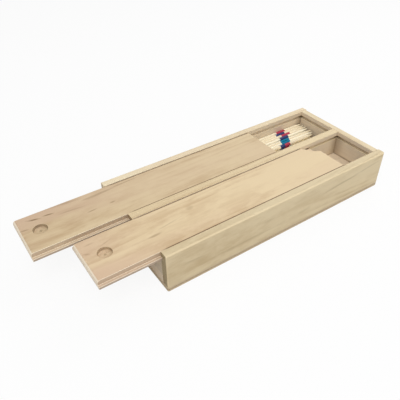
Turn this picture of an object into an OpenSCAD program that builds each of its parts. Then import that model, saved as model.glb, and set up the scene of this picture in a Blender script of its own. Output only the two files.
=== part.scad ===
// Two-compartment wooden game box with two sliding lids and a heap of pick-up sticks.
// Lengths are in millimetres. X runs along the box, the lids draw out towards -X, and +Z is up.
// The origin is the centre of the box's underside.

/* [Box] */
// Outside length of the box
box_l = 230; // [215:1:300]
// Outside width of the box
box_w = 106; // [100:1:140]
// Outside height of the box
box_h = 36; // [34:0.5:60]
// Thickness of the side walls
wall_t = 7; // [6:0.1:9]
// Thickness of the divider between the compartments
divider_t = 7; // [6.4:0.1:9]
// Thickness of the far end wall and of the two low near end walls
end_t = 7; // [5:0.1:9]
// Thickness of the plywood bottom panel
bottom_t = 4; // [3:0.1:6]
// Thickness of the floor board that lies on the bottom panel, between the walls
floor_t = 8; // [4:0.1:9]
// Radius along the top outer edges of the walls
top_edge_r = 1.8; // [0.5:0.1:3]
// Radius of the upright outer edges at the box's corners
corner_r = 1.2; // [0.5:0.1:2.5]

/* [Grooves] */
// Height of the lip above each groove
lip_h = 4.3; // [3.5:0.1:5.5]
// Height of each groove
groove_h = 2.7; // [2.5:0.1:3.5]
// Depth of each groove
groove_depth = 2.2; // [1.6:0.1:2.6]

/* [Lids] */
// Height that a lid's tongue lies above the groove's lower face
tongue_lift = 0.2; // [0.1:0.05:0.3]
// Gap between a lid's tongue and the lip above it
tongue_play = 0.3; // [0.2:0.05:0.5]
// Gap between a tongue's edge and the bottom of its groove
tongue_gap = 0.3; // [0.2:0.05:0.6]
// Gap between a lid's raised part and the lips beside it
lip_gap = 0.4; // [0.3:0.05:0.8]
// Depth of a lid's top below the tops of the walls
lid_sink = 0.6; // [0.2:0.1:1.2]
// Radius along the top edge of each lid's near end
lid_end_r = 2; // [0.5:0.1:3]
// Length of the front lid that stands out past the near end when it is shut
front_overhang = 11.2; // [2:0.1:16]
// Length of the rear lid that stands out past the near end when it is shut
rear_overhang = 5; // [2:0.1:16]
// Length of the front lid that stands out past the near end, as drawn
front_out = 48.2; // [20:0.1:170]
// Length of the rear lid that stands out past the near end, as drawn
rear_out = 75.6; // [20:0.1:140]
// Gap between the underside of a lid and the low near end wall
near_end_gap = 0.5; // [0.4:0.1:2]

/* [Finger recess] */
// Diameter of the finger recess in each lid
recess_d = 11; // [8:0.5:20]
// Depth of the finger recess
recess_depth = 2; // [1:0.1:3]
// Distance from the front lid's near end to its recess's centre
front_inset = 16; // [13:0.1:30]
// Distance from the rear lid's near end to its recess's centre
rear_inset = 14.6; // [13:0.1:30]
// Distance that each recess lies behind its lid's centre line
recess_shift = 0.8; // [0:0.1:4]
// Diameter of the pit that the drill's point leaves
pit_d = 2; // [1:0.1:3]
// Depth of the pit below the recess's floor
pit_depth = 1; // [0.5:0.1:1.5]

/* [Sticks] */
// Diameter of a stick
stick_d = 3.2; // [2.8:0.05:3.5]
// Length of a stick from tip to tip
stick_l = 180; // [150:1:190]
// Length of the tapered point at each end
point_l = 7; // [4:0.5:12]
// Diameter of the blunt tip
tip_d = 1.1; // [0.8:0.1:2]
// Distance from a tip to the first painted band, on the sticks painted nearest their tips
band_inset = 23; // [15:1:40]
// Length of one painted band
band_l = 11; // [4:0.5:14]
// Gap between sticks that lie against each other
stick_gap = 0.06; // [0.04:0.01:0.1]
// Gap between the outermost sticks and the compartment's walls
heap_gap = 0.4; // [0.3:0.1:1]
// Gap between the far tips and the far end wall
far_gap = 0.8; // [0.5:0.1:5]

/* [Hidden] */
$fn = 48;

// Cuts pass their surfaces by this much
over = 1;

pine = "#dcc39b";
pine_lid = "#d6bb92";
pine_end = "#c2a579";
plywood = "#b5a48a";
stick_wood = "#efe0bd";
crimson = "#b3203a";
navy = "#27335f";
teal = "#127a9c";

// Heights, from the table up
floor_z = bottom_t + floor_t;
groove_top = box_h - lip_h;
groove_z = groove_top - groove_h;
tongue_z = groove_z + tongue_lift;
tongue_t = groove_h - tongue_lift - tongue_play;
lid_top = box_h - lid_sink;
near_end_top = tongue_z - near_end_gap;

// The compartments, across the box, and their far end
inner_w = box_w - 2 * wall_t;
space_w = (inner_w - divider_t) / 2;
front_y = wall_t;
divider_y = front_y + space_w;
rear_y = divider_y + divider_t;
far_x = box_l - end_t;

// The lids: a raised part between the lips, on a tongue that enters the grooves on three sides
tongue_reach = groove_depth - tongue_gap + lip_gap;
// Length of the raised part that lies within the box when a lid is shut
shut_l = far_x - lip_gap;
lid_w = space_w - 2 * lip_gap;

// Rows of the heap: three nested rows, and a looser row on top of them
row_w = space_w - 2 * heap_gap - stick_d;
row_n = floor(row_w / (1.05 * stick_d)) + 1;
row_pitch = row_w / (row_n - 1);
rest_d = stick_d + stick_gap;
row_rise = sqrt(rest_d * rest_d - row_pitch * row_pitch / 4);
row_counts = [row_n, row_n - 1, row_n - 1];
row_offsets = [0, row_pitch / 2, row_pitch];

// The top row, from the rear wall forwards: how far each stick's tip lies behind the foremost one,
// its turn in degrees, its kind, and whether it is laid with its second end at the far end
top_row = [
    [0.8, 0.02, "worker", false],
    [0.2, 0, "worker", true],
    [0, -0.03, "worker", false],
    [1.2, -0.06, "worker", true],
    [0.6, -0.45, "mandarin", false],
    [2.2, -0.47, "mandarin", false],
    [5.5, -0.5, "samurai", false]
];
top_pitch = 1.05 * stick_d;
// Extra gap ahead of the second group, where the sticks fan apart
top_split = 0.22 * stick_d;
top_split_at = 4;

low_n = row_counts[0] + row_counts[1] + row_counts[2];
stick_n = low_n + len(top_row);
// How far the tips of the lower rows vary
tip_spread = 3;

// The painted bands of a kind of stick at its first or second end, in order from the tip
function bands(kind, second_end) =
    kind == "worker" ? (second_end ? [navy] : [crimson]) :
    kind == "mandarin" ? [teal] :
    kind == "samurai" ? [crimson, navy] :
    kind == "priest" ? [navy, crimson, navy] :
    [teal, navy, teal];

// The kinds in the lower rows. With the top row they make 15 workers, 15 samurai, 5 mandarins,
// 5 priests and an emperor
function low_kind(i) =
    i == 20 ? "emperor" :
    i % 11 == 4 ? "mandarin" :
    i % 7 == 2 ? "priest" :
    i % 2 == 0 ? "worker" : "samurai";

// Length of each band, where an end has one band or several
function band_part(paints) = len(paints) == 1 ? band_l : 0.55 * band_l;

// How much further from the tip the bands start on a worker's second end, and on the other kinds
worker_shift = 4;
other_shift = 7.5;
function band_start(kind, second_end) =
    band_inset + (kind != "worker" ? other_shift : second_end ? worker_shift : 0);

function reversed(list) = [for (i = [len(list) - 1:-1:0]) list[i]];

function row_of(i) = i < row_counts[0] ? 0 : i < row_counts[0] + row_counts[1] ? 1 : 2;
function place_in_row(i) =
    row_of(i) == 0 ? i :
    row_of(i) == 1 ? i - row_counts[0] : i - row_counts[0] - row_counts[1];

far_tip_x = far_x - far_gap;
first_y = heap_gap + stick_d / 2;

// The far tip of a stick of the lower rows, and its centre line
function low_tip_x(i) = far_tip_x - tip_spread * (1 + sin(137.5 * i));
function low_y(i) =
    rear_y + first_y + row_offsets[row_of(i)] + row_pitch * place_in_row(i);
function low_z(i) = floor_z + stick_d / 2 + stick_gap + row_rise * row_of(i);

function top_y(k) =
    rear_y + space_w - first_y - top_pitch * k - (k >= top_split_at ? top_split : 0);
top_z = floor_z + stick_d / 2 + 2 * row_rise + rest_d + stick_gap;

STICKS = [for (i = [1:stick_n]) str("stick_", i < 10 ? "0" : "", i)];

// Moves a piece from the box's near front corner to the origin at the middle of the underside
module placed() {
    translate([-box_l / 2, -box_w / 2, 0]) children();
}

// What a rounded edge of radius r loses: the corner at the origin, its round centre at [r, r]
module edge_loss(r) {
    difference() {
        translate([-over, -over]) square(r + over);
        translate([r, r]) circle(r);
    }
}

// Lays a profile drawn in Y and Z along X
module along_x(length) {
    rotate([90, 0, 90]) linear_extrude(length) children();
}

// A groove's section, opening towards +Y from a wall's face at y
module groove_section(y) {
    translate([y - groove_depth, groove_z]) square([groove_depth + over, groove_h]);
}

module bottom_panel() {
    color(plywood) placed() difference() {
        cube([box_l, box_w, bottom_t]);
        upright_corners(bottom_t);
    }
}

module floor_board() {
    color(pine_end) placed()
        translate([0, wall_t, bottom_t]) cube([far_x, inner_w, floor_t]);
}

// The four rounded upright corners, up to height h
module upright_corners(h) {
    for (x = [0, 1], y = [0, 1])
        translate([x * box_l, y * box_w, -over]) mirror([x, 0, 0]) mirror([0, y, 0])
            linear_extrude(h + 2 * over) edge_loss(corner_r);
}

// A side wall that runs the whole length, with its outer face at y = 0. Its groove, on the inside,
// is open at the near end and stops where the far end wall's groove does
module side_wall() {
    difference() {
        translate([0, 0, bottom_t]) along_x(box_l) difference() {
            square([wall_t, box_h - bottom_t]);
            translate([0, box_h - bottom_t]) mirror([0, 1]) edge_loss(top_edge_r);
        }
        translate([-over, 0, 0]) along_x(over + far_x + groove_depth) groove_section(wall_t);
        upright_corners(box_h);
    }
}

module front_wall() {
    color(pine) placed() side_wall();
}

module rear_wall() {
    color(pine) placed() translate([0, box_w, 0]) mirror([0, 1, 0]) side_wall();
}

// The divider stands on the floor board, with a groove on both faces
module divider() {
    color(pine) placed() difference() {
        translate([0, divider_y, floor_z]) cube([far_x, divider_t, box_h - floor_z]);
        translate([-over, divider_y + divider_t, 0]) along_x(box_l) groove_section(0);
        translate([-over, divider_y, 0]) mirror([0, 1, 0]) along_x(box_l) groove_section(0);
    }
}

// The far end wall stands on the bottom panel between the side walls, with its groove facing the lids
module far_end_wall() {
    color(pine) placed() difference() {
        translate([far_x, wall_t, bottom_t]) cube([end_t, inner_w, box_h - bottom_t]);
        translate([far_x - over, wall_t - over, groove_z])
            cube([groove_depth + over, inner_w + 2 * over, groove_h]);
        translate([box_l, wall_t - over, box_h]) rotate([-90, 0, 0]) linear_extrude(inner_w + 2 * over)
            mirror([1, 0]) edge_loss(top_edge_r);
    }
}

// A low wall that closes one compartment under its lid, at the near end
module near_end_wall(y) {
    color(pine) placed()
        translate([0, y, floor_z]) cube([end_t, space_w, near_end_top - floor_z]);
}

module front_near_end_wall() {
    near_end_wall(front_y);
}

module rear_near_end_wall() {
    near_end_wall(rear_y);
}

// A lid over the compartment that starts at y, drawn out by the given length. Shut, it stands out
// past the near end by its overhang
module lid(y, out, overhang, inset) {
    lid_l = shut_l + overhang;
    recess_y = space_w / 2 + recess_shift;
    recess_z = lid_top - recess_depth;
    color(pine_lid) placed() translate([-out, y, 0]) difference() {
        union() {
            translate([0, lip_gap, tongue_z]) cube([lid_l, lid_w, lid_top - tongue_z]);
            translate([0, lip_gap - tongue_reach, tongue_z])
                cube([lid_l + tongue_reach, lid_w + 2 * tongue_reach, tongue_t]);
        }
        translate([0, lip_gap - over, lid_top]) rotate([-90, 0, 0]) linear_extrude(lid_w + 2 * over)
            edge_loss(lid_end_r);
        translate([inset, recess_y, recess_z]) cylinder(h = recess_depth + over, d = recess_d);
        translate([inset, recess_y, recess_z - pit_depth])
            cylinder(h = pit_depth + over, d1 = 0.2 * pit_d, d2 = pit_d + (0.8 * pit_d) * over / pit_depth);
    }
}

module front_lid() {
    lid(front_y, front_out, front_overhang, front_inset);
}

module rear_lid() {
    lid(rear_y, rear_out, rear_overhang, rear_inset);
}

// A length of stick along Z, from one height to another, with its diameters at both. Neighbouring
// lengths share their heights, so that they join into one solid
module stretch(from, to, from_d = stick_d, to_d = stick_d) {
    rotate_extrude() polygon([[0, from], [from_d / 2, from], [to_d / 2, to], [0, to]]);
}

// Where each length of a stick of a kind starts and ends, from tip to tip
function length_ends(near_bands, far_bands, near_start, far_end) = concat(
    [0, point_l],
    [for (i = [0:len(near_bands)]) near_start + i * band_part(near_bands)],
    [for (i = [len(far_bands):-1:0]) far_end - i * band_part(far_bands)],
    [stick_l - point_l, stick_l]
);

// A stick along X with its near tip at the origin, made of lengths laid end to end
module stick(kind, turned) {
    near_bands = bands(kind, !turned);
    far_bands = bands(kind, turned);
    ends = length_ends(near_bands, far_bands, band_start(kind, !turned),
        stick_l - band_start(kind, turned));
    paints = concat(
        [stick_wood, stick_wood], near_bands, [stick_wood], reversed(far_bands),
        [stick_wood, stick_wood]
    );
    last = len(paints) - 1;
    rotate([0, 90, 0])
        for (i = [0:last])
            color(paints[i])
                stretch(ends[i], ends[i + 1], i == 0 ? tip_d : stick_d, i == last ? tip_d : stick_d);
}

// A stick of the three nested rows, counted from the bottom
module low_stick(i) {
    placed() translate([low_tip_x(i) - stick_l, low_y(i), low_z(i)])
        stick(low_kind(i), i % 2 == 1);
}

// A stick of the top row, turned a little about its middle
module top_stick(k) {
    row = top_row[k];
    placed() translate([far_tip_x - row[0] - stick_l / 2, top_y(k), top_z]) rotate([0, 0, row[1]])
        translate([-stick_l / 2, 0, 0]) stick(row[2], row[3]);
}

module stick_in_heap(i) {
    if (i < low_n) low_stick(i);
    else top_stick(i - low_n);
}

bottom_panel();
floor_board();
front_wall();
rear_wall();
divider();
far_end_wall();
front_near_end_wall();
rear_near_end_wall();
front_lid();
rear_lid();
for (i = [0:stick_n - 1])
    stick_in_heap(i);
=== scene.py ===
"""A long pine game box with two sliding lids, drawn partly out over a heap of pick-up sticks.

Lengths are in mm, as in the CAD source, and MM turns them into the scene's metres. +X runs along
the box to its closed far end, +Y across it to the compartment with the sticks, and +Z up."""

import math
import random
from collections import namedtuple

import bmesh
import bpy
from mathutils import Matrix, Vector


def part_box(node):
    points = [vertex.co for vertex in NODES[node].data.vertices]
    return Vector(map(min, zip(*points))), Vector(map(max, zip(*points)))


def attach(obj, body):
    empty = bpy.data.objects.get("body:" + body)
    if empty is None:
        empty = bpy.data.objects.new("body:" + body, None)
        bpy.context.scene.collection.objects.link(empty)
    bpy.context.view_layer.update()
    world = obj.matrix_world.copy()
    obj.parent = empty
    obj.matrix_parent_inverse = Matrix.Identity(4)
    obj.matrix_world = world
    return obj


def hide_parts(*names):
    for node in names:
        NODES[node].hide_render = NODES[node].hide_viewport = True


MM = 0.001

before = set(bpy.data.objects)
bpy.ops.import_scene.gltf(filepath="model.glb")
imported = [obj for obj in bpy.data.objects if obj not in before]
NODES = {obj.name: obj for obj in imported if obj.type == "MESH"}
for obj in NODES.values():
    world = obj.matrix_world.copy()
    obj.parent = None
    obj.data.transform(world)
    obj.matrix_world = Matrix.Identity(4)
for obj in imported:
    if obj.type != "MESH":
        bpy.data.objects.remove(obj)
SCENE = bpy.context.scene


def extent(node):
    """The lowest and the highest corner of a CAD node, in mm."""
    return [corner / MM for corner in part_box(node)]


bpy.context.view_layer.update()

# The box's inside
FAR_X = extent("far_end_wall")[0].x
NEAR_X = extent("front_wall")[0].x
SIDE_Y = extent("rear_wall")[0].y
DIVIDER_Y = extent("divider")[1].y
FLOOR_Z = extent("floor_board")[1].z
WALL_TOP = extent("front_wall")[1].z

# The grooves under the walls' lips, and the lids' tongues, which stand out by their reach
LIP_H, GROOVE_H, GROOVE_DEPTH = 4.3, 2.7, 2.2
TONGUE_PLAY, TONGUE_REACH = 0.3, 2.3
LIP_Z = WALL_TOP - LIP_H
LEDGE_Z = LIP_Z - GROOVE_H
TONGUE_Z = LIP_Z - TONGUE_PLAY


# Shader nodes

class Tree:
    """A node tree, written as expressions."""

    def __init__(self, owner, output):
        owner.use_nodes = True
        self.nodes, self.links = owner.node_tree.nodes, owner.node_tree.links
        self.nodes.clear()
        self.output = self.nodes.new(output)

    def put(self, node, name, value):
        if isinstance(value, bpy.types.NodeSocket):
            self.links.new(value, node.inputs[name])
        else:
            node.inputs[name].default_value = value

    def node(self, kind, **inputs):
        made = self.nodes.new(kind)
        for name, value in inputs.items():
            self.put(made, name.replace("_", " "), value)
        return made

    def math(self, operation, *values, clamp=False):
        made = self.nodes.new("ShaderNodeMath")
        made.operation, made.use_clamp = operation, clamp
        for i, value in enumerate(values):
            self.put(made, i, value)
        return made.outputs[0]

    def product(self, total, *others):
        for other in others:
            total = self.math("MULTIPLY", total, other)
        return total

    def scaled(self, value, by, plus):
        return self.math("MULTIPLY_ADD", value, by, plus)

    def larger(self, a, b):
        return self.math("MAXIMUM", a, b)

    def less(self, share):
        """What a share leaves of 1."""
        return self.math("SUBTRACT", 1.0, share)

    def ramp(self, value, low, high):
        """0 on low's side, 1 on high's side, and smooth between them."""
        made = self.nodes.new("ShaderNodeMapRange")
        made.interpolation_type = "SMOOTHSTEP"
        self.put(made, 0, value)
        made.inputs[1].default_value, made.inputs[2].default_value = low, high
        return made.outputs[0]

    def stretch(self, place, start, end):
        """A ramp between two places, in mm."""
        return self.ramp(place, start * MM, end * MM)

    def mix(self, share, a, b):
        made = self.nodes.new("ShaderNodeMix")
        made.data_type = "RGBA"
        self.put(made, 0, share)
        for slot, colour in ((6, a), (7, b)):
            linked = isinstance(colour, bpy.types.NodeSocket)
            self.put(made, slot, colour if linked else (*colour, 1))
        return made.outputs[2]

    def moved(self, vector, shift=(0, 0, 0), turn=(0, 0, 0), by=(1, 1, 1), kind="POINT"):
        made = self.node("ShaderNodeMapping", Vector=vector)
        made.vector_type = kind
        for name, value in (("Location", shift), ("Rotation", turn), ("Scale", by)):
            made.inputs[name].default_value = value
        return made.outputs[0]

    def noise(self, place, by, shift=(0, 0, 0), detail=2.0, roughness=0.5):
        """Noise that repeats by[0], by[1] and by[2] times a metre."""
        at = self.moved(place, shift, by=by)
        return self.node("ShaderNodeTexNoise", Vector=at, Scale=1.0, Detail=detail,
                         Roughness=roughness).outputs[0]

    def split(self, vector):
        return self.node("ShaderNodeSeparateXYZ", Vector=vector).outputs

    def seen_straight(self):
        """1 for a ray from the camera, a reflection or through glass, and 0 for one that lights."""
        path = self.node("ShaderNodeLightPath").outputs
        total = path["Is Camera Ray"]
        for name in ("Is Glossy Ray", "Is Transmission Ray"):
            total = self.math("ADD", total, path[name], clamp=True)
        return total

    def blend(self, share, first, second):
        """Puts out the first shader, and the second by its share."""
        mixed = self.nodes.new("ShaderNodeMixShader")
        for i, value in enumerate((share, first.outputs[0], second.outputs[0])):
            self.put(mixed, i, value)
        self.links.new(mixed.outputs[0], self.output.inputs[0])


class Material(Tree):
    """A material, from its place in the box to its surface."""

    def __init__(self, name):
        self.material = bpy.data.materials.new(name)
        super().__init__(self.material, "ShaderNodeOutputMaterial")

    def place(self):
        return self.node("ShaderNodeTexCoord").outputs["Object"]

    def surface(self, colour, roughness, height, depth, specular):
        """Height is from 0 to 1, and depth says how deep that is in mm."""
        bump = self.node("ShaderNodeBump", Strength=1.0, Distance=depth * MM, Height=height)
        shader = self.node("ShaderNodeBsdfPrincipled", Base_Color=colour, Roughness=roughness,
                           Specular_IOR_Level=specular, Normal=bump.outputs[0])
        self.links.new(shader.outputs[0], self.output.inputs[0])
        return self.material


def linear(r, g, b):
    """A colour given as on a screen, from 0 to 255."""
    return tuple(c / 12.92 if c <= 0.04045 else ((c + 0.055) / 1.055) ** 2.4
                 for c in (r / 255, g / 255, b / 255))


def darker(colour, by):
    return tuple(by * c for c in colour)


def paler(colour, by):
    return tuple(min(1.0, by * c) for c in colour)


# Wood

# How many times a metre each unevenness of pine repeats: along the board, across it and up
BENDS, DRIFTS, PATCHES, CLOUDS = (7, 30, 30), (3.2, 10, 10), (9, 45, 45), (6, 55, 55)
BLOTCHES, BLUSHES, WOBBLES = (38, 95, 95), (7, 32, 32), (80, 300, 300)
FIBRES, FUZZ, PORES = (40, 900, 900), (200, 3600, 3600), (900, 2600, 2600)

# The second and third colours are painted shade: along a lid's edges, and inside the box
SHADED, EDGE_SHADE_TONE, INNER_SHADE_TONE = linear(206, 196, 184), linear(98, 68, 42), linear(132, 108, 74)
TONGUE_TOP, TONGUE_SIDE = linear(204, 186, 166), linear(152, 132, 116)

# How much darker than a board's dark tone its marks and its end grain are
MARK_TONE, END_TONE = 0.55, 0.6

# How thick painted shade lies: on a lid's edges, and in the box in a groove, along the floor,
# towards the corners and in their very creases; and how thick dirt lies on a lid's tongue
EDGE_SHADE, TONGUE_DIRT, GROOVE_SHADE, FLOOR_SHADE = 0.92, 0.5, 0.6, 0.6
CORNER_SHADE, CREASE_SHADE = 0.45, 0.75

# The yearly rings' spacing, how far they wave, how dark their lines are, and how strong the clouds
# and blotches over them
Figure = namedtuple("Figure", "ring wave lines clouds blotches",
                    defaults=(3.2, 1.0, 0.3, 1.0, 0.15))

# A dark streak in the wood: its place, half sizes, turn seen from above, rise along it and depth
Mark = namedtuple("Mark", "x y z length width height turn rise depth")


class Pine(Material):
    """Sawn and sanded pine. Its x runs with the grain, whichever way the board lies in the box."""

    def __init__(self, name, along, seed):
        super().__init__(name)
        self.seed, self.along = seed, along
        coordinates = self.node("ShaderNodeTexCoord")
        self.in_box = self.in_board = coordinates.outputs["Object"]
        normal = coordinates.outputs["Normal"]
        if along == "Y":
            back = (0, 0, math.radians(-90))
            self.in_board = self.moved(self.in_box, turn=back)
            normal = self.moved(normal, turn=back)
        self.x, self.y, self.z = self.split(self.in_board)
        self.nx, self.ny, self.nz = (self.math("ABSOLUTE", n) for n in self.split(normal))
        self.bent = self.noise(self.in_board, BENDS, (seed, seed * 0.37, 0))
        self.fibre = self.noise(self.in_board, FIBRES, (seed, 0, 0), 3.0, 0.6)

    def late_wood(self, heart, figure):
        """The dark part of each yearly ring. The rings lie round an axis along the board, through
        heart, a point across it and up, so that faces, edges and end grain belong to one board."""
        wander = 30 * MM * figure.wave
        slow = self.noise(self.in_board, DRIFTS, (self.seed * 1.7, 0, self.seed), 1.0)
        drift = self.scaled(slow, wander, -0.5 * wander)
        dy, dz = (self.math("SUBTRACT", self.math("SUBTRACT", place, middle * MM), drift)
                  for place, middle in zip((self.y, self.z), heart))
        away = self.math("SQRT", self.math("ADD", self.product(dy, dy), self.product(dz, dz)))
        rings = self.math("DIVIDE", away, figure.ring * MM)
        part = self.math("FRACT", self.scaled(self.bent, 1.3 * figure.wave, rings))
        return self.product(self.ramp(part, 0.1, 0.85), self.less(self.ramp(part, 0.88, 1.0)))

    def shade(self, heart, figure):
        """How dark the wood is, from its rings and fibres and the clouds and blotches over them."""
        patches = self.noise(self.in_board, PATCHES, (self.seed, 3, self.seed))
        strong = self.product(self.ramp(patches, 0.42, 0.68), figure.lines)
        bowed = self.scaled(self.bent, 10 * MM, self.y)
        place = self.node("ShaderNodeCombineXYZ", X=self.x, Y=bowed, Z=self.z).outputs[0]
        cloud = self.noise(place, CLOUDS, (0, 0, self.seed), 4.0, 0.6)
        cloudy = self.scaled(cloud, figure.clouds, -0.5 * figure.clouds)
        fibrous = self.scaled(self.fibre, 0.16, cloudy)
        ringed = self.scaled(self.late_wood(heart, figure), strong, fibrous)
        blotch = self.noise(self.in_board, BLOTCHES, (self.seed,) * 3, 5.0, 0.62)
        blotch = self.math("SUBTRACT", self.ramp(blotch, 0.38, 0.6), 0.5)
        return self.scaled(blotch, figure.blotches, ringed)

    def rosy(self):
        """How far the blush goes, in patches, and less past the box's near end."""
        patches = self.noise(self.in_board, BLUSHES, (self.seed * 2, self.seed, 0))
        along = self.scaled(self.stretch(self.x, -170, -90), -0.7, 0.95)
        return self.product(self.ramp(patches, 0.4, 0.66), along)

    def streaks(self, marks):
        """How dark the marks are. Each is an oval with a ragged edge."""
        wobble = self.noise(self.in_board, WOBBLES, (self.seed, 0, self.seed))
        wobble = self.scaled(wobble, 1.6, 0.2)
        total = 0.0
        for mark in marks:
            turn = (0, math.radians(-mark.rise), math.radians(mark.turn))
            at, half = Vector(mark[:3]) * MM, Vector(mark[3:6]) * MM
            away = self.nodes.new("ShaderNodeVectorMath")
            away.operation = "LENGTH"
            self.put(away, 0, self.moved(self.in_board, at, turn, half, "TEXTURE"))
            ragged = self.product(away.outputs["Value"], wobble)
            total = self.scaled(self.less(self.ramp(ragged, 0.15, 1.0)), mark.depth, total)
        return self.math("MINIMUM", total, 0.85)

    def facing(self, n):
        """1 on faces that look along the axis of n, and 0 elsewhere."""
        return self.ramp(n, 0.9, 0.99)

    def end_grain(self, share):
        """End grain drinks in light and shows its pores, and its colour is strongest towards the
        box's near end: on the box's boards that darkening is painted shade from the lids over it.
        """
        pores = self.noise(self.in_board, PORES, (self.seed, 0, 0), 1.0)
        porous = self.scaled(self.ramp(pores, 0.4, 0.7), 0.5 * share, 0.75 * share)
        # Painted shade of the lids: the end grain's colour is strongest at the near end
        near = self.scaled(self.stretch(self.x, 60, -60), 0.65, 0.35)
        return self.product(self.facing(self.nx), porous, near)

    def upright(self, share):
        return self.product(self.facing(self.ny), share, self.scaled(self.fibre, 0.8, 0.6))

    def rounded(self):
        """1 on an eased edge, where sanding went through to paler wood and a painted highlight
        lies, and 0 on a face.
        """
        flat = self.larger(self.nx, self.larger(self.ny, self.nz))
        return self.less(self.ramp(flat, 0.85, 0.98))

    def tongue(self, colour):
        """A lid's tongue is soiled, and its sides, which run in the grooves, are more so."""
        top = self.stretch(self.z, TONGUE_Z + 0.2, TONGUE_Z + 0.05)
        colour = self.mix(self.product(top, TONGUE_DIRT), colour, TONGUE_TOP)
        side = self.product(self.stretch(self.z, TONGUE_Z + 0.1, TONGUE_Z - 0.1),
                            self.ramp(self.ny, 0.8, 0.95))
        return self.mix(self.product(side, TONGUE_DIRT), colour, TONGUE_SIDE)

    def shaded_edges(self, node):
        """Painted shade on the top edges of a lid, along the part that runs between the lips."""
        lo, hi = extent(node)
        half, middle = (hi.y - lo.y) / 2 - TONGUE_REACH, (hi.y + lo.y) / 2
        aside = self.math("ABSOLUTE", self.math("SUBTRACT", self.y, middle * MM))
        edge = self.stretch(aside, half - 1.1, half - 0.4)
        between_lips = self.stretch(self.x, NEAR_X - 1, NEAR_X + 8)
        return self.product(edge, self.ramp(self.nz, 0.3, 0.6), between_lips, EDGE_SHADE)

    def painted_inner_shade(self):
        """Painted shade inside the box: in its grooves, in its corners and along its floor."""
        x, y, z = self.split(self.in_box)
        y = self.math("ABSOLUTE", y)
        bottom_x, bottom_y = FAR_X + GROOVE_DEPTH, SIDE_Y + GROOVE_DEPTH
        inside = self.product(self.stretch(y, bottom_y + 0.7, bottom_y + 0.5),
                              self.stretch(x, bottom_x + 0.6, bottom_x + 0.4))
        groove = self.product(self.stretch(z, LEDGE_Z + 0.6, LEDGE_Z + 1.6),
                              self.stretch(z, LIP_Z + 0.3, LIP_Z), GROOVE_SHADE)
        if self.along == "Y":
            corner = self.product(self.stretch(y, DIVIDER_Y + 12.5, DIVIDER_Y), CORNER_SHADE)
        else:
            crease = self.product(self.stretch(x, FAR_X - 3, FAR_X - 0.2), CREASE_SHADE)
            corner = self.product(self.stretch(x, FAR_X - 11, FAR_X), CORNER_SHADE)
            corner = self.larger(corner, crease)
        low = self.product(self.stretch(z, FLOOR_Z + 2.5, FLOOR_Z + 0.2), FLOOR_SHADE)
        below_lip = self.stretch(z, LIP_Z + 0.2, LIP_Z - 0.2)
        corner = self.product(self.larger(corner, low), below_lip)
        return self.product(inside, self.larger(groove, corner))


def pine(name, tones, heart, seed, along="X", figure=Figure(), marks=(), painted_fade=None, end=(0.3, None),
         side=(0.35, SHADED), lid_node=None, grooved=False):
    """Pine in tones from light to dark, with a blush. Heart and figure say how it grew. The fade is
    a stretch along the board over which it grows paler, and by how much: painted light, paler
    towards the box's far end. End and side tell how far end grain and upright faces go towards a
    colour. A lid, given by its node, has a soiled tongue and painted shade along its edges between
    the lips, and a grooved board painted shade on its faces inside the box."""
    light, dark, blush = tones
    end_share, end_colour = end
    side_share, side_colour = side
    t = Pine(name, along, seed)
    shade = t.shade(heart, figure)
    # Painted light: the board grows paler towards the box's far end
    if painted_fade:
        first, last, share = painted_fade
        shade = t.scaled(t.stretch(t.x, first, last), -share, shade)
    colour = t.mix(t.ramp(shade, -0.35, 1.0), light, dark)
    colour = t.mix(t.rosy(), colour, blush)
    if marks:
        colour = t.mix(t.streaks(marks), colour, darker(dark, MARK_TONE))
    colour = t.mix(t.end_grain(end_share), colour, end_colour or darker(dark, END_TONE))
    colour = t.mix(t.upright(side_share), colour, side_colour)
    # Paler eased edges: partly sanded-through wood, partly a painted highlight, most on top edges
    sanded, edge_colour = 0.5, paler(light, 1.12)
    if lid_node:
        # Painted shade along the lid's edges between the lips; the tongue is soiled
        shaded_edges = t.shaded_edges(lid_node)
        colour = t.mix(shaded_edges, t.tongue(colour), EDGE_SHADE_TONE)
        sanded, edge_colour = t.scaled(shaded_edges, -0.8, 0.8), end_colour
    if grooved:
        # Painted shade in the grooves, towards the inner corners and along the floor
        colour = t.mix(t.painted_inner_shade(), colour, INNER_SHADE_TONE)
        sanded = t.scaled(t.stretch(t.z, WALL_TOP - 3, WALL_TOP - 2), 0.5, 0.15)
    colour = t.mix(t.product(t.rounded(), sanded), colour, edge_colour)
    fuzz = t.noise(t.in_board, FUZZ, (0, seed, 0), 2.0, 0.6)
    height = t.scaled(fuzz, 0.5, t.product(t.fibre, 0.5))
    return t.surface(colour, t.scaled(t.fibre, 0.12, 0.56), height, 0.03, specular=0.3)


def plywood(name):
    """Three plies: the outer two run along the panel, and the middle one shows its end grain."""
    lower, upper, soft = 1.2, 2.6, 0.2
    t = Material(name)
    place = t.place()
    uneven = t.scaled(t.noise(place, (30, 30, 30)), 0.3 * MM, -0.15 * MM)
    level = t.math("ADD", t.split(place)[2], uneven)
    middle = t.product(t.stretch(level, lower, lower + soft),
                       t.less(t.stretch(level, upper, upper + soft)))
    fibre = t.noise(place, (70, 1300, 1800), (0, 0, 0), 3.0, 0.6)
    ends = t.noise(place, (900, 900, 1400), (0, 0, 0), 2.0, 0.6)
    cloud = t.noise(place, (9, 40, 40), (3, 0, 0))
    outer = t.mix(t.ramp(t.scaled(cloud, 0.6, fibre), 0.55, 1.05),
                  linear(208, 192, 162), linear(186, 166, 134))
    inner = t.mix(t.ramp(ends, 0.3, 0.75), linear(186, 166, 136), linear(156, 134, 106))
    return t.surface(t.mix(middle, outer, inner), 0.62, fibre, 0.05, specular=0.3)


# Meshes

EASE = 0.3
# Edges that bend more than SHARP degrees are eased, and those below SMOOTH are shaded smooth
SHARP, SMOOTH = 40, 38


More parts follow.
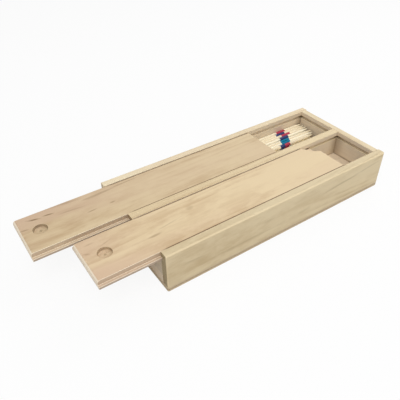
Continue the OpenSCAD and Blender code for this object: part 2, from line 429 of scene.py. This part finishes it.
def placed(name, data):
    made = bpy.data.objects.new(name, data)
    SCENE.collection.objects.link(made)
    return made


def as_mesh(bm, name):
    data = bpy.data.meshes.new(name)
    bm.to_mesh(data)
    bm.free()
    return data


def stand_for(made, node, body):
    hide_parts(node)
    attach(made, body)


def dress(piece, *materials):
    slots = piece.data.materials
    if len(slots):
        slots.clear()
    for material in materials:
        slots.append(material)


def eased(node):
    """Takes the sharpness off a CAD board's edges, as sanding does."""
    piece = NODES[node]
    weld = piece.modifiers.new("weld", "WELD")
    weld.merge_threshold = 0.001 * MM
    bevel = piece.modifiers.new("ease", "BEVEL")
    bevel.width, bevel.segments = EASE * MM, 2
    bevel.limit_method, bevel.angle_limit = "ANGLE", math.radians(SHARP)
    bevel.use_clamp_overlap = False
    piece.modifiers.new("normals", "WEIGHTED_NORMAL").keep_sharp = False


def solid(node):
    """A copy of a CAD node's mesh, with its faces joined, to be worked in."""
    bm = bmesh.new()
    bm.from_mesh(NODES[node].data)
    bmesh.ops.remove_doubles(bm, verts=bm.verts, dist=0.001 * MM)
    return bm


def joined(bm, first, second):
    """Joins two rings of corners by the faces between them."""
    turned = zip(first, first[1:] + first[:1], second[1:] + second[:1], second)
    return [bm.faces.new(four) for four in turned]


def bend(edge):
    return math.degrees(edge.calc_face_angle(0)) if len(edge.link_faces) == 2 else 0


def carve(bm, width, wanted):
    """Rounds the sharp edges whose ends are both wanted."""
    edges = [e for e in bm.edges if bend(e) > SHARP and all(wanted(v) for v in e.verts)]
    bmesh.ops.bevel(bm, geom=edges, offset=width * MM, segments=3, profile=0.5, affect="EDGES",
                    clamp_overlap=False)


def finished(bm, name, node, body):
    """Turns a worked mesh into the piece that stands for a node."""
    for face in bm.faces:
        face.smooth = True
    for edge in bm.edges:
        edge.smooth = bend(edge) < SMOOTH
    made = placed(name, as_mesh(bm, name))
    made.modifiers.new("normals", "WEIGHTED_NORMAL").keep_sharp = True
    stand_for(made, node, body)
    return made


# Boards

ROSE, GREY = linear(230, 208, 182), linear(234, 221, 206)


def on_front_wall(x, z, length, width, rise, depth):
    return Mark(x, extent("front_wall")[0].y, z, length, width, height=width, turn=0, rise=rise,
                depth=depth)


WALL_MARKS = [on_front_wall(62, 24, 36, 1.5, 5, 0.36), on_front_wall(98, 28, 16, 1.3, 6, 0.3),
              on_front_wall(-40, 12, 40, 1.8, 0, 0.22), on_front_wall(-92, 20, 14, 1.6, -3, 0.25),
              on_front_wall(-20, 22, 9, 2.5, 4, 0.2), on_front_wall(20, 14, 12, 2.2, 3, 0.2)]
BOARDS = {
    # Front wall: darker end grain partly painted shade from the lids; its fade is painted light
    "front_wall": pine(
        "pine_front_wall", (linear(221, 203, 167), linear(177, 151, 109), linear(213, 197, 163)),
        (-78, 22), 3.1, figure=Figure(lines=0.4, clouds=1.1, blotches=0.3), marks=WALL_MARKS,
        painted_fade=(-110, 60, 0.3), end=(0.85, linear(134, 118, 82)), side=(0.14, linear(178, 163, 134)),
        grooved=True),
    "rear_wall": pine(
        "pine_rear_wall", (linear(240, 225, 193), linear(212, 187, 148), linear(238, 216, 190)),
        (95, -20), 7.4, figure=Figure(lines=0.4), grooved=True),
    # The divider's fade is painted light, paler towards the far end
    "divider": pine(
        "pine_divider", (linear(228, 208, 170), linear(184, 154, 112), linear(216, 192, 152)),
        (60, -45), 1.9, figure=Figure(lines=0.5), painted_fade=(-115, 60, 0.5),
        end=(0.9, linear(150, 126, 96)), side=(0.45, GREY), grooved=True),
    "far_end_wall": pine(
        "pine_far_end", (linear(236, 221, 188), linear(210, 185, 146), ROSE), (-60, -60), 5.2,
        along="Y", figure=Figure(lines=0.4), side=(0.5, GREY), grooved=True),
    # The near end walls' darker tones are painted shade from the lids above them
    "front_near_end_wall": pine(
        "pine_near_end", (linear(198, 182, 150), linear(158, 136, 104), linear(188, 168, 138)),
        (60, -50), 8.8, along="Y"),
    "floor_board": pine(
        "pine_floor", (linear(236, 220, 196), linear(206, 184, 152), ROSE), (10, -90), 4.4,
        figure=Figure(lines=0.4)),
    "bottom_panel": plywood("plywood"),
}
BOARDS["rear_near_end_wall"] = BOARDS["front_near_end_wall"]
OUTER_WALLS = ("front_wall", "rear_wall", "far_end_wall")


def inner_eased(node, material):
    """A wall over its CAD node, with the edges of its inner face and its groove eased. Its outer
    edges are already rounded."""
    bm = solid(node)
    lo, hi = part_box(node)
    axis = 0 if node == "far_end_wall" else 1
    inner = lo[axis] if lo[axis] + hi[axis] > 0 else hi[axis]
    carve(bm, EASE, lambda vert: abs(inner - vert.co[axis]) < (GROOVE_DEPTH + 0.3) * MM)
    dress(finished(bm, "eased_" + node, node, "box"), material)


for node, material in BOARDS.items():
    if node in OUTER_WALLS:
        inner_eased(node, material)
    else:
        dress(NODES[node], material)
        if node != "bottom_panel":
            eased(node)


# Lids

RECESS_R, RECESS_Z, RECESS_SHIFT = 5.5, 33.4, 0.8
# How far from the recess's wall its own corners may lie, and how far apart equal heights
NEAR_WALL, SAME_HEIGHT = 0.05, 0.01
RIM_EASE, LID_EASE = 0.12, 0.35

# What a spade bit leaves, from the wall inwards: radii, and heights from the recess's floor
SCORED_RING = [(5.32, -0.04), (5.22, -0.3), (5.05, -0.28), (4.9, 0.0)]
PIT = [(1.05, 0.0), (0.9, -0.2), (0.5, -0.62), (0.2, -0.95)]
RING_R, PIT_R = SCORED_RING[-1][0], PIT[0][0]
RIPPLES, RIPPLE_R, RIPPLE_STEP, RIPPLE_H, RIPPLE_WAVE = 7, 4.5, 0.45, 0.09, 0.03

# A lid's materials, in their order in its slots; the last two are darker as painted shade
DRILLED, RECESS_SHADE = 1, 2

# Heights between which a break cuts right through a lid, and how far it leans towards the near end
BELOW_LID, ABOVE_LID, LEAN = 28, 38, 0.5


def drill(bm, centre, away, rng):
    """Gives the recess a scored ring, faint ripples across its floor and the pit of a point."""
    def in_recess(vert):
        return away(vert) < RECESS_R + NEAR_WALL

    def corner(r, turn, height):
        return bm.verts.new((centre.x + r * MM * math.cos(turn), centre.y + r * MM * math.sin(turn),
                             (RECESS_Z + height) * MM))

    floor = [f for f in bm.faces
             if all(in_recess(v) and v.co.z < (RECESS_Z + SAME_HEIGHT) * MM for v in f.verts)]
    bmesh.ops.delete(bm, geom=floor, context="FACES")
    for vert in [v for v in bm.verts if not v.link_faces]:
        bm.verts.remove(vert)
    outer = [v for v in bm.verts if in_recess(v) and abs(v.co.z - RECESS_Z * MM) < SAME_HEIGHT * MM]
    outer.sort(key=lambda v: math.atan2(v.co.y - centre.y, v.co.x - centre.x))
    turns = [math.atan2(v.co.y - centre.y, v.co.x - centre.x) for v in outer]
    ripples = [(RIPPLE_R - RIPPLE_STEP * k, RIPPLE_H * rng.random() * (1 if k % 2 else -1))
               for k in range(RIPPLES)]
    for r, dz in SCORED_RING + ripples + PIT:
        wave = RIPPLE_WAVE if PIT_R < r < RING_R else 0
        inner = [corner(r, turn, dz + wave * math.sin(2 * turn + r)) for turn in turns]
        for face in joined(bm, outer, inner):
            face.material_index = DRILLED if PIT_R <= r <= RING_R else RECESS_SHADE
        outer = inner
    bm.faces.new(outer).material_index = RECESS_SHADE
    bmesh.ops.recalc_face_normals(bm, faces=bm.faces)


def lid(node, inset, woods, chips=()):
    """A lid over its CAD node, with its edges eased and its recess drilled. Woods are its body's,
    the drilled floor's, a little darker, and the much darker one of the recess's wall, ring and
    pit, the two darker ones painted shade. Each chip is a place where the lid is broken off: its
    outline in plan, and the height it goes down to."""
    bm = solid(node)
    lo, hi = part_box(node)
    centre = Vector((lo.x + inset * MM, (lo.y + hi.y) / 2 + RECESS_SHIFT * MM, 0))
    rim_r, rim_z = RECESS_R + 0.1, hi.z - 0.1 * MM

    def away(vert):
        return math.hypot(vert.co.x - centre.x, vert.co.y - centre.y) / MM

    drill(bm, centre, away, random.Random(node))
    carve(bm, RIM_EASE, lambda vert: away(vert) < rim_r and vert.co.z > rim_z)
    # Painted shade: the recess's wall takes the darkest wood
    for face in bm.faces:
        if all(RECESS_R - 0.02 < away(v) < rim_r + NEAR_WALL
               and v.co.z > (RECESS_Z - SAME_HEIGHT) * MM for v in face.verts):
            face.material_index = RECESS_SHADE
    carve(bm, LID_EASE, lambda vert: away(vert) > rim_r + 0.1)
    piece = finished(bm, "drilled_" + node, node, node)
    dress(piece, *woods)
    for outline, low in chips:
        break_off(piece, outline, low)


def break_off(piece, outline, low):
    """Cuts away what lies over an outline, from a height upwards."""
    bm = bmesh.new()
    foot = [bm.verts.new((x * MM, y * MM, low * MM)) for x, y in outline]
    top = [bm.verts.new((x * MM - LEAN * MM, y * MM, ABOVE_LID * MM)) for x, y in outline]
    bm.faces.new(list(reversed(foot)))
    bm.faces.new(top)
    joined(bm, foot, top)
    cutter = placed("cutter", as_mesh(bm, "cutter"))
    cut = piece.modifiers.new("break", "BOOLEAN")
    cut.operation, cut.solver, cut.object = "DIFFERENCE", "EXACT", cutter
    piece.modifiers.move(len(piece.modifiers) - 1, 0)
    bpy.context.view_layer.update()
    broken = piece.evaluated_get(bpy.context.evaluated_depsgraph_get())
    shaped = bpy.data.meshes.new_from_object(broken)
    piece.modifiers.remove(cut)
    piece.data = shaped
    bpy.data.objects.remove(cutter)


LID_TONES = linear(230, 208, 170), linear(172, 134, 92), linear(216, 187, 158)
CREAM, SAWN = linear(250, 238, 216), linear(192, 170, 146)


def on_lid(x, y, length, width, turn, depth):
    return Mark(x, y, z=35, length=length, width=width, height=3, turn=turn, rise=0, depth=depth)


def lid_woods(which, seed, heart, shades, clouds, blotches, marks, painted_fade):
    """A lid's three woods, each a shade of the same tones: its body's, the drilled floor's, a
    little darker, and the recess wall's, much darker; the two darker ones are painted shade in the
    recess."""
    body, drilled, recess_shade = ([darker(tone, shade) for tone in LID_TONES] for shade in shades)
    plain = {"end": (0, None), "side": (0, SHADED)}
    return (pine(f"pine_{which}_lid", body, heart, seed, marks=marks, painted_fade=painted_fade,
                 figure=Figure(4.6, 1.8, 0.3, clouds, blotches), end=(0.8, CREAM), side=(0.8, SAWN),
                 lid_node=which + "_lid"),
            pine("drilled_" + which, drilled, heart, seed, **plain),
            pine("burnished_" + which, recess_shade, heart, seed, **plain))


FRONT_MARKS = [on_lid(-158.6, -18.6, 3.5, 1.2, -30, 0.3), on_lid(-142.4, -15.1, 7, 0.8, 16, 0.3),
               on_lid(-109.7, -28.9, 9, 1.5, 3, 0.4), on_lid(-153.8, -10.3, 5, 1.2, 4, 0.25),
               on_lid(-96, -24, 14, 1.0, 8, 0.25), on_lid(-72, -17, 5, 3.5, 20, 0.22)]
REAR_MARKS = [on_lid(-176.8, 38.4, 6, 1.3, -10, 0.9), on_lid(-165.6, 38.0, 6.5, 1.1, -8, 0.8),
              on_lid(-186.6, 30.3, 5, 1.1, -8, 0.45), on_lid(-135.8, 23.2, 6, 1.0, 4, 0.5),
              on_lid(-148, 43.8, 16, 3, -6, 0.3), on_lid(-118, 23.9, 3.5, 1.2, 1, 0.5),
              on_lid(-120, 40, 22, 2, 4, 0.35), on_lid(-150, 33, 12, 1.2, -5, 0.25),
              on_lid(-95, 42, 18, 1.2, 2, 0.35)]
# The front lid's far corner has lost its raised part, and beyond that its tongue as well
RAISED_BREAK = [(57, -2.5), (59.5, -6.2), (62.6, -9.5), (64.2, -12.8), (66.5, -15), (69.4, -16.6),
                (71.5, -17.5), (76, -18), (76, -2.5)]
TONGUE_BREAK = [(70, 0), (69.8, -6), (70.3, -11), (71.8, -13.5), (74, -14.2), (76, -15), (76, 0)]

# Each lid's fade is painted light, paler towards the box's far end
lid("front_lid", 16.0,
    lid_woods("front", 2.3, (50, -40), (1.0, 0.98, 0.7), 1.7, 0.28, FRONT_MARKS, (-150, 70, 0.5)),
    [(RAISED_BREAK, TONGUE_Z + 0.02), (TONGUE_BREAK, BELOW_LID)])
lid("rear_lid", 14.6,
    lid_woods("rear", 6.1, (-60, -30), (0.92, 0.88, 0.6), 2.0, 0.2, REAR_MARKS, (-170, 20, 0.3)))


# Sticks

def stick_wood():
    """Each stick lies at its own height and width in the box, so coarse noise across the heap gives
    each its own tone. Down between the others it is painted darker, as painted shade."""
    t = Material("stick_wood")
    place = t.place()
    tone = t.noise(place, (1.5, 300, 300), (0, 0, 0), 0.0)
    grain = t.noise(place, (40, 1700, 1700))
    colour = t.mix(t.ramp(tone, 0.35, 0.65), linear(253, 243, 216), linear(243, 228, 196))
    colour = t.mix(t.product(t.ramp(grain, 0.5, 0.8), 0.3), colour, linear(220, 196, 156))
    # Painted shade: lower in the heap the sticks grow darker
    deep = t.stretch(t.split(place)[2], 20.5, 17)
    colour = t.mix(t.product(deep, 0.6), colour, linear(150, 122, 84))
    return t.surface(colour, 0.48, grain, 0.012, specular=0.35)


def paint(name, colour):
    """Paint that covers a little less along some fibres."""
    t = Material(name)
    streak = t.noise(t.place(), (160, 1500, 1500), (0, 0, 0), 3.0, 0.6)
    thin = t.mix(t.ramp(streak, 0.6, 1.0), colour, tuple(0.9 * c + 0.03 for c in colour))
    return t.surface(thin, t.scaled(streak, 0.2, 0.4), streak, 0.015, specular=0.15)


STICK_MATERIALS = [
    stick_wood(),
    paint("crimson_paint", linear(184, 62, 84)),
    paint("navy_paint", linear(58, 66, 112)),
    paint("teal_paint", linear(0, 118, 152)),
]
WOOD, CRIMSON, NAVY, TEAL = range(4)
R, POINT, TIP_R, LENGTH = 1.6, 7.0, 0.55, 180.0
SIDES, POINT_PARTS = 24, 5
INSET, BAND, WORKER_SHIFT, OTHER_SHIFT = 23.0, 11.0, 4.0, 7.5
# How far a stick's radius varies between its bands, how far a band's edge wanders along it, and the
# range of the phase with which it does
UNEVEN, WANDER, FULL_TURN = 0.035, 0.2, 6.28

LOW_STICKS = 34
# The top row, from the rear wall forwards: its kinds, whether turned end for end, and its slant
TOP_ROW = [("worker", False, 0.02), ("worker", True, 0.0), ("worker", False, -0.03),
           ("worker", True, -0.06), ("mandarin", False, -0.45), ("mandarin", False, -0.47),
           ("samurai", False, -0.5)]


def low_kind(i):
    """The kinds that a set has left for the rows below the top one, spread through the heap."""
    return ("emperor" if i == 20 else "mandarin" if i % 11 == 4 else "priest" if i % 7 == 2
            else "worker" if i % 2 == 0 else "samurai")


def bands(kind, second_end):
    """The painted bands of one end as (start, end, paint), measured from its tip."""
    paints = {"worker": [NAVY] if second_end else [CRIMSON], "mandarin": [TEAL],
              "samurai": [CRIMSON, NAVY], "priest": [NAVY, CRIMSON, NAVY],
              "emperor": [TEAL, NAVY, TEAL]}[kind]
    start = INSET + (OTHER_SHIFT if kind != "worker" else WORKER_SHIFT if second_end else 0)
    part = BAND if len(paints) == 1 else 0.55 * BAND
    return [(start + k * part, start + (k + 1) * part, p) for k, p in enumerate(paints)]


def profile(edges, rng):
    """A stick's (place along it, radius), from tip to tip, with a place at each band's edge."""
    point = [(0.0, TIP_R - 0.18), (0.12, TIP_R - 0.04), (0.45, TIP_R + 0.03)]
    for k in range(1, POINT_PARTS):
        hollow = 0.03 if k in (2, 3) else 0
        point.append((POINT * k / POINT_PARTS, TIP_R + (R - TIP_R) * k / POINT_PARTS - hollow))
    point += [(POINT - 0.5, R - 0.1), (POINT + 0.5, R - 0.02)]
    first, last, step = 14, int(LENGTH) - 10, 8
    plain = [at for at in range(first, last, step) if all(abs(at - e) > 1 for e in edges)]
    shaft = [(at, R if at in edges else R - UNEVEN * rng.random())
             for at in sorted(edges + plain)]
    far_point = [(LENGTH - at, r) for at, r in point]
    return sorted(point + shaft + far_point, key=lambda stop: stop[0])


def uneven_ring(bm, at, r, wander, phase):
    """A ring of corners round a stick, at a place along it from which it wanders to and fro."""
    ring = []
    for k in range(SIDES):
        turn = 2 * math.pi * k / SIDES
        wave = 0.6 * math.sin(turn + phase) + 0.4 * math.sin(3 * turn + 2 * phase)
        along = at + wander * wave
        ring.append(bm.verts.new((along * MM - LENGTH * MM / 2, r * MM * math.cos(turn),
                                  r * MM * math.sin(turn))))
    return ring


def stick(number, kind, turned, slant):
    """One stick over its CAD node: turned on X, a little uneven, with eased tips and the edges of
    its paint bands drawn by hand."""
    node = f"stick_{number:02d}"
    rng = random.Random(number)
    painted = bands(kind, not turned)
    painted += [(LENGTH - b, LENGTH - a, p) for a, b, p in bands(kind, turned)]
    edges = sorted({e for a, b, _ in painted for e in (a, b)})
    stops = profile(edges, rng)
    bm = bmesh.new()
    rings = [uneven_ring(bm, at, r, WANDER if at in edges else 0, rng.random() * FULL_TURN)
             for at, r in stops]
    for a, b, (start, _), (end, _) in zip(rings, rings[1:], stops, stops[1:]):
        middle = (start + end) / 2
        coat = next((p for low, high, p in painted if low < middle < high), WOOD)
        for face in joined(bm, a, b):
            face.smooth = True
            face.material_index = coat
    bm.faces.new(list(reversed(rings[0])))
    bm.faces.new(rings[-1])
    bmesh.ops.recalc_face_normals(bm, faces=bm.faces)
    lo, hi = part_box(node)
    bm.transform(Matrix.Translation((lo + hi) / 2) @ Matrix.Rotation(math.radians(slant), 4, "Z"))
    made = placed("banded_" + node, as_mesh(bm, "banded_" + node))
    dress(made, *STICK_MATERIALS)
    stand_for(made, node, "box")


for i in range(LOW_STICKS):
    stick(i + 1, low_kind(i), i % 2 == 1, 0)
for k, (kind, turned, slant) in enumerate(TOP_ROW):
    stick(LOW_STICKS + k + 1, kind, turned, slant)


# Floor, light and camera

WHITE = (1, 1, 1, 1)


def floor():
    """A matt floor that takes the object's shadow, and looks nearly as white as the background."""
    half, lit = 4.0, 0.9
    data = bpy.data.meshes.new("floor")
    data.from_pydata([(-half, -half, 0), (half, -half, 0), (half, half, 0), (-half, half, 0)],
                     [], [(0, 1, 2, 3)])
    t = Material("floor")
    matt = t.node("ShaderNodeBsdfDiffuse", Color=(0.9, 0.9, 0.9, 1))
    white = t.node("ShaderNodeEmission", Color=WHITE, Strength=1.0)
    t.blend(t.product(t.seen_straight(), lit), matt, white)
    made = placed("floor", data)
    dress(made, t.material)


def surroundings(level):
    """Light from all round, of this strength, that looks white itself."""
    world = bpy.data.worlds.new("studio")
    SCENE.world = world
    t = Tree(world, "ShaderNodeOutputWorld")
    fill = t.node("ShaderNodeBackground", Color=WHITE, Strength=level)
    white = t.node("ShaderNodeBackground", Color=WHITE, Strength=1.0)
    t.blend(t.seen_straight(), fill, white)


def lamp(name, place, size, power):
    """A soft box in metres and watts, turned to the origin."""
    data = bpy.data.lights.new(name, "AREA")
    data.shape, data.size, data.size_y = "RECTANGLE", *size
    data.energy = power
    made = placed(name, data)
    made.location = place
    made.rotation_euler = (-Vector(place)).to_track_quat("-Z", "Y").to_euler()


def camera():
    """The photograph's viewpoint, worked out from the box's edges, in radians and metres."""
    yaw, pitch, roll = 0.592, 0.677, -0.010
    place = (-0.2205, -0.2527, 0.2669)
    ahead = Vector((math.cos(pitch) * math.sin(yaw), math.cos(pitch) * math.cos(yaw),
                    -math.sin(pitch)))
    right = Vector((math.cos(yaw), -math.sin(yaw), 0))
    above = right.cross(ahead)
    across = right * math.cos(roll) + above * math.sin(roll)
    up = -right * math.sin(roll) + above * math.cos(roll)
    data = bpy.data.cameras.new("camera")
    data.sensor_width, data.lens = 36, 41.9
    data.clip_start, data.clip_end = 0.01, 20
    made = placed("camera", data)
    turn = Matrix((across, up, -ahead)).transposed().to_4x4()
    made.matrix_world = Matrix.Translation(place) @ turn
    SCENE.camera = made


floor()
surroundings(0.45)
lamp("key", (-0.45, -0.45, 1.1), (0.8, 0.8), 6.0)
lamp("far_fill", (0.5, 0.2, 0.6), (0.5, 0.5), 1.4)
lamp("front", (0.25, -1.1, 0.8), (1.0, 0.7), 3.4)
camera()
SCENE.view_settings.view_transform = "Standard"
